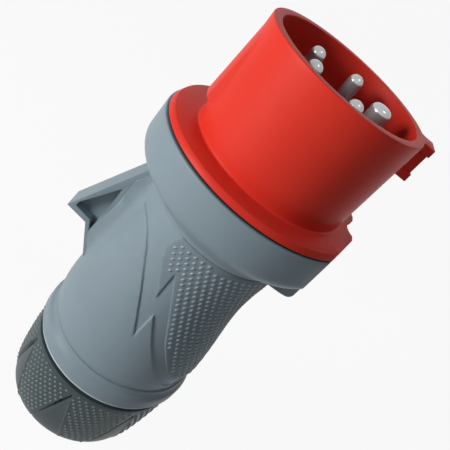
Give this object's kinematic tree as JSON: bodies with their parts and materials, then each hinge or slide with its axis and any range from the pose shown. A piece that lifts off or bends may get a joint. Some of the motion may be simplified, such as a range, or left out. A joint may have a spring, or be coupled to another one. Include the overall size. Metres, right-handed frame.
{
  "type": "industrial pin and sleeve plug",
  "caption": "Straight industrial plug with round contact pins inside a keyed red shroud, a grey grip body with a rear fin, and a threaded cable gland nut.",
  "frame": {"origin": "centre of the gland nut's end face, on the plug's axis", "axes": "+Z along the plug's axis to the mouth of the shroud, +X towards 6 o'clock, the side of the key and the earth pin"},
  "size_m": [0.0768, 0.0748, 0.166],
  "materials": {
    "red_thermoplastic": "moulded glass-filled polyamide, satin",
    "carrier_thermoplastic": "moulded polyamide, matt",
    "zinc_plated_steel": "zinc plated",
    "black_rubber": "moulded rubber",
    "blue_grey_thermoplastic": "moulded polyamide, satin",
    "blue_grey_elastomer": "soft moulded elastomer with fine pips",
    "light_thermoplastic": "moulded polyamide, satin",
    "dark_grey_thermoplastic": "moulded polyamide with fine pips",
    "nickel_plated_brass": "turned brass, nickel plated"
  },
  "bodies": {
    "plug_body": {"carrier_screws": "zinc_plated_steel", "clamp_cage": "carrier_thermoplastic", "contact_carrier": "carrier_thermoplastic", "earth_clamp_plate": "zinc_plated_steel", "earth_terminal_screw": "zinc_plated_steel", "flange_seal": "black_rubber", "gland_seal": "black_rubber", "grip": "blue_grey_elastomer", "housing": "blue_grey_thermoplastic", "phase_clamp_plates": "zinc_plated_steel", "phase_terminal_screws": "zinc_plated_steel", "pin_earth": "nickel_plated_brass", "pin_l1": "nickel_plated_brass", "pin_l2": "nickel_plated_brass", "pin_l3": "nickel_plated_brass", "pin_n": "nickel_plated_brass", "shroud": "red_thermoplastic"},
    "gland_travel_ring": {"slip_ring": "light_thermoplastic"},
    "gland_nut_body": {"gland_nut": "dark_grey_thermoplastic"},
    "lock_slide_body": {"lock_slide": "red_thermoplastic"}
  },
  "joints": [
    {"name": "gland_travel", "type": "slide", "parent": "plug_body", "child": "gland_travel_ring", "axis": [0, 0, -1], "range_m": [0, 0.0075]},
    {"name": "gland_turn", "type": "hinge", "parent": "gland_travel_ring", "child": "gland_nut_body", "pos_m": [0, 0, 0.016], "axis": [0, 0, -1], "range_deg": [0, 900]},
    {"name": "lock_slide_travel", "type": "slide", "parent": "plug_body", "child": "lock_slide_body", "axis": [0, 0, -1], "range_m": [0, 0.004]}
  ],
  "couplings": [
    {"joint": "gland_travel", "follows": "gland_turn", "m_per_rad": 0.00047746}
  ]
}
